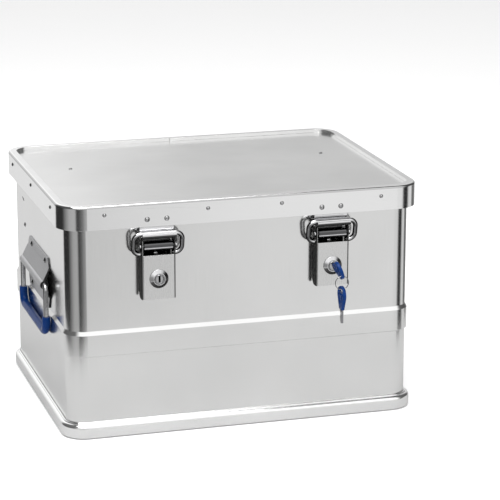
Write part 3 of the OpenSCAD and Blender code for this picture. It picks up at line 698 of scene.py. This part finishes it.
def make_key_ring():
    """Split ring: a wire that goes round twice, side by side."""
    low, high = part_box("key_ring")
    centre = (low + high) / 2
    wire = 0.42 * MM
    inset = 0.6 * MM
    radius = (high.x - low.x) / 2 - inset
    steps = 96
    sides = 10
    work = bmesh.new()
    rings = []
    for k in range(2 * steps + 1):
        a = 2 * math.pi * k / steps
        shift = (k / steps - 1) * wire
        bow = Vector((math.cos(a), 0, math.sin(a)))
        middle = centre + bow * radius + Vector((0, shift, 0))
        rings.append([work.verts.new(middle + wire * (bow * math.cos(b) + Vector((0, math.sin(b), 0))))
                      for b in (2 * math.pi * j / sides for j in range(sides))])
    for lower, upper in zip(rings, rings[1:]):
        for j in range(sides):
            n = (j + 1) % sides
            work.faces.new([lower[j], lower[n], upper[n], upper[j]]).smooth = True
    work.faces.new(rings[0])
    work.faces.new(rings[-1][::-1])
    made = to_object("key_split_ring", work, "ring", "key_metal", ["key_ring"])
    smooth_by_angle(made, 60)


def hide_key_reflections():
    """The brushed sheets smear small reflections away, so the keys are left out of mirror reflections."""
    for obj in bpy.data.objects:
        if obj.name.startswith(("key_", "spare_key_")):
            obj.visible_glossy = False


# ---------- seal under the lid ----------


def ring_path(half_w, half_d, radius, steps=12):
    """Points and outward directions around a rounded rectangle."""
    path = []
    for quarter in range(4):
        turn = quarter * math.pi / 2
        cx = (half_w - radius) * (1 if quarter in (0, 3) else -1)
        cy = (half_d - radius) * (1 if quarter in (0, 1) else -1)
        for k in range(steps + 1):
            a = turn + math.pi / 2 * k / steps
            out = Vector((math.cos(a), math.sin(a), 0))
            path.append((Vector((cx, cy, 0)) + out * radius, out))
    return path


def make_seal():
    """Foam seal with a flat back on the lid and a soft round lip below."""
    low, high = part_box("lid_seal")
    half_seal = 2.5 * MM
    half_w = (high.x - low.x) / 2 - half_seal
    half_d = (high.y - low.y) / 2 - half_seal
    corner_r = 19.5 * MM
    lip_r = 2.3 * MM
    height = high.z - low.z
    back_z = height - 1.2 * MM
    section = [(-lip_r, back_z), (-2.45 * MM, height), (2.35 * MM, height), (lip_r, back_z)]
    section += [(x, z + lip_r) for x, z in arc_points(0, 0, lip_r, 0, -180, 12)]
    work = bmesh.new()
    rings = [[work.verts.new(Vector((0, 0, low.z)) + at + out * x + Vector((0, 0, z))) for x, z in section]
             for at, out in ring_path(half_w, half_d, corner_r)]
    for i, ring in enumerate(rings):
        following = rings[(i + 1) % len(rings)]
        for j in range(len(section)):
            k = (j + 1) % len(section)
            work.faces.new([ring[j], following[j], following[k], ring[k]])
    made = to_object("lid_seal_lip", work, body_of_node("lid_seal"), "seal_rubber", ["lid_seal"])
    smooth_by_angle(made, 40)


# ---------- lid straps ----------

STRAP_W = 25 * MM
STRAP_T = 1.5 * MM
STRAP_STEPS = 72
STRAP_COLUMNS = 8
# the share of the strap's length over which it turns from the side wall towards the lid
STRAP_TURN = 0.55
# heights between which the strap goes over from following the case to following the lid
STRAP_FREE_FROM = 23 * MM
STRAP_FREE_TO = 6.5 * MM


def turned_back(point, hinge, angle):
    """Where a point of the open strap lies when the lid has turned back by angle."""
    y, z = point.y - hinge.y, point.z - hinge.z
    c, s = math.cos(angle), math.sin(angle)
    return Vector((point.x, hinge.y + y * c - z * s, hinge.z + y * s + z * c))


def blend_weight(point, start, end):
    run = end - start
    t = min(1.0, max(0.0, (point - start).dot(run) / run.length_squared))
    return t * t * (3 - 2 * t)


def strap_line(wall, lid, start, end):
    """The closed strap's middle line, which the lid's motion pulls straight when it is fully open."""
    joint = joints["lid_hinge"]
    hinge = Vector(joint["pos_m"])
    opening = math.radians(joint["range_deg"][1])
    open_lid = turned_back(lid, hinge, -opening)
    line = []
    for k in range(STRAP_STEPS + 1):
        taut = wall.lerp(open_lid, k / STRAP_STEPS)
        low, high = 0.0, 1.0
        for _ in range(40):
            middle = (low + high) / 2
            if blend_weight(turned_back(taut, hinge, middle * opening), start, end) > middle:
                low = middle
            else:
                high = middle
        line.append(turned_back(taut, hinge, low * opening))
    return line, (open_lid - wall).length


def rivet_on(node, sign):
    """Corners of the rivet of a strap on one side of the case."""
    return next(pair for pair in solids(node) if pair[0].x * sign > 0)


def strap_row(line, k, sign):
    """Points round the strap's section at step k of its middle line, with their places across its width."""
    ahead = (line[min(k + 1, STRAP_STEPS)] - line[max(k - 1, 0)]).normalized()
    turn = min(1.0, k / STRAP_STEPS / STRAP_TURN)
    angle = -sign * math.pi / 2 * (1 - turn * turn * (3 - 2 * turn))
    level = Vector((math.cos(angle), math.sin(angle), 0))
    square = level - ahead * level.dot(ahead)
    width = level * (STRAP_W / square.length)
    normal = square.cross(ahead).normalized() * (STRAP_T / 2)
    shares = [c / STRAP_COLUMNS for c in range(STRAP_COLUMNS + 1)]
    row = [(line[k] + width * (share - 0.5) + normal, share) for share in shares]
    return row + [(line[k] + width * (share - 0.5) - normal, share) for share in reversed(shares)]


def make_straps():
    for side, sign in SIDES.items():
        wall_low, wall_high = rivet_on("strap_wall_rivets", sign)
        lid_low, lid_high = rivet_on("strap_lid_rivets", sign)
        wall = (wall_low + wall_high) / 2
        wall.x = (wall_low.x if sign > 0 else wall_high.x) - sign * STRAP_T
        lid = (lid_low + lid_high) / 2
        lid.z = lid_low.z - STRAP_T
        start = Vector((0, 0, wall.z + STRAP_FREE_FROM))
        end = Vector((0, 0, lid.z - STRAP_FREE_TO))
        line, length = strap_line(wall, lid, start, end)
        work = bmesh.new()
        uv = work.loops.layers.uv.new("strap")
        rows = []
        for k in range(STRAP_STEPS + 1):
            travelled = length * k / STRAP_STEPS / MM
            row = strap_row(line, k, sign)
            rows.append(([work.verts.new(p) for p, _ in row],
                         [(u * STRAP_W / MM, travelled) for _, u in row]))
        for (lower, lower_uv), (upper, upper_uv) in zip(rows, rows[1:]):
            for j in range(len(lower)):
                n = (j + 1) % len(lower)
                face = work.faces.new([lower[j], lower[n], upper[n], upper[j]])
                for loop, value in zip(face.loops, (lower_uv[j], lower_uv[n], upper_uv[n], upper_uv[j])):
                    loop[uv].uv = value
        work.faces.new(rows[0][0])
        work.faces.new(rows[-1][0][::-1])
        made = to_object(f"lid_strap_{side}", work, None, "webbing", [f"strap_{side}"])
        smooth_by_angle(made, 50)
        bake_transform(made)


# ---------- studio ----------

FLOOR_SIZE = 30
FLOOR_TONE = 0.88
FLOOR_GLOW = 0.30
# the card round the case that only mirror reflections see: its radius and its tone
CARD_RADIUS = 0.56
CARD_TONE = 0.54
FLOOR_STEP = 0.3 * MM
STUDIO_LOW = [(-180, 0.80), (-152, 0.80), (-143, 0.03), (-97, 0.03), (-79, 0.25), (-63, 0.42), (-38, 0.46),
              (-32, 0.04), (-22, 0.06), (-4, 0.20), (9, 0.52), (14, 0.80), (18, 0.92), (24, 0.80),
              (44, 0.78), (51, 0.05), (56, 0.02), (71, 0.02), (80, 0.68), (96, 0.82), (106, 0.15),
              (128, 0.15), (140, 0.80), (180, 0.80)]
# and above it
STUDIO_SKY = [(-180, 1.0), (-160, 1.0), (-140, 0.12), (-60, 0.12), (-35, 0.95), (50, 1.0), (65, 0.10),
              (122, 0.10), (140, 0.64), (160, 0.60), (165, 0.60), (169, 0.88), (173, 1.0)]
# how high above the horizon the sky has taken over, as the height of a direction of length one
SKY_FROM = 0.12
# brightness by elevation in degrees
STUDIO_HEIGHTS = [(-90, 0.10), (-62, 0.25), (-38, 0.85), (-12, 1.0), (0, 1.0), (12, 1.0), (24, 1.25),
                  (56, 1.35), (68, 0.2), (90, 0.2)]
SOFTBOX_POWER = 60
# height of the point at which the lights aim
LIGHT_AIM_Z = 0.14


def make_world():
    """A bright studio with dark flags standing round it, painted by direction."""
    world = bpy.data.worlds.new("studio")
    bpy.context.scene.world = world
    world.use_nodes = True
    tree = world.node_tree
    place = add(tree, "ShaderNodeTexCoord").outputs["Generated"]
    parts = add(tree, "ShaderNodeSeparateXYZ", {"Vector": place}).outputs
    azimuth = math_node(tree, "ARCTAN2", parts["X"], math_node(tree, "MULTIPLY", parts["Y"], -1.0))
    azimuth = math_node(tree, "ADD", math_node(tree, "DIVIDE", azimuth, 2 * math.pi), 0.5)
    elevation = math_node(tree, "ADD", math_node(tree, "DIVIDE", math_node(tree, "ARCSINE", parts["Z"]),
                                                 math.pi), 0.5)
    round_it = add(tree, "ShaderNodeValToRGB", {"Fac": azimuth})
    fill_ramp(round_it.color_ramp, STUDIO_LOW, -180, 180)
    sky = add(tree, "ShaderNodeValToRGB", {"Fac": azimuth})
    fill_ramp(sky.color_ramp, STUDIO_SKY, -180, 180)
    upward = add(tree, "ShaderNodeValToRGB", {"Fac": elevation})
    fill_ramp(upward.color_ramp, STUDIO_HEIGHTS, -90, 90)
    above = add(tree, "ShaderNodeMapRange", {"Value": parts["Z"], "From Min": 0.0, "From Max": SKY_FROM,
                                             "To Min": 0.0, "To Max": 1.0}).outputs["Result"]
    around = add(tree, "ShaderNodeMix", {0: above, 6: round_it.outputs["Color"], 7: sky.outputs["Color"]},
                 data_type="RGBA")
    total = add(tree, "ShaderNodeMix", {0: 1.0, 6: upward.outputs["Color"], 7: around.outputs[2]},
                data_type="RGBA", blend_type="MULTIPLY")
    background = tree.nodes["Background"]
    tree.links.new(total.outputs[2], background.inputs["Color"])
    background.inputs["Strength"].default_value = 1.0


def floor_paper(name, tone, glow):
    material, tree = new_tree(name)
    shader = tree.nodes["Principled BSDF"]
    place = add(tree, "ShaderNodeTexCoord").outputs["Object"]
    clouds = noise(tree, place, (3, 3, 3), detail=2.0)
    tree.links.new(tint(tree, clouds, shade((1, 1, 1), tone - 0.01), shade((1, 1, 1), tone + 0.01)),
                   shader.inputs["Base Color"])
    shader.inputs["Roughness"].default_value = 0.9
    shader.inputs["Specular IOR Level"].default_value = 0.1
    shader.inputs["Emission Color"].default_value = (1, 1, 1, 1)
    shader.inputs["Emission Strength"].default_value = glow
    return material


def make_disc(name, radius, z, tone, glow=0.0):
    work = bmesh.new()
    bmesh.ops.create_circle(work, cap_ends=True, segments=96, radius=radius)
    mesh = bpy.data.meshes.new(name)
    work.to_mesh(mesh)
    work.free()
    disc = bpy.data.objects.new(name, mesh)
    bpy.context.scene.collection.objects.link(disc)
    disc.location.z = z
    mesh.materials.append(floor_paper(name + "_paper", tone, glow))
    return disc


def make_floor():
    """Plain pale floor, and a greyer card in its place for mirror reflections near the case."""
    level = CAD_BOX[0].z
    floor = make_disc("floor", FLOOR_SIZE / 2, level - FLOOR_STEP, FLOOR_TONE, FLOOR_GLOW)
    floor.visible_glossy = False
    card = make_disc("mirror_card", CARD_RADIUS, level, CARD_TONE)
    card.visible_camera = False
    card.visible_diffuse = False
    card.visible_shadow = False


def area_light(name, azimuth, elevation, distance, size, power):
    light = bpy.data.lights.new(name, "AREA")
    light.shape = "SQUARE"
    light.size = size
    light.energy = power
    holder = bpy.data.objects.new(name, light)
    bpy.context.scene.collection.objects.link(holder)
    towards = direction(azimuth, elevation)
    holder.location = Vector((0, 0, LIGHT_AIM_Z)) + towards * distance
    holder.rotation_euler = towards.to_track_quat("Z", "Y").to_euler()


def make_studio():
    make_world()
    make_floor()
    area_light("overhead_softbox", azimuth=-30, elevation=74, distance=2.2, size=1.6, power=SOFTBOX_POWER)
    bpy.context.scene.view_settings.view_transform = "Standard"


make_camera()
make_studio()
dress_frame()
make_rivets()
make_lock_faces()
make_keys()
make_key_ring()
hide_key_reflections()
make_seal()
make_straps()
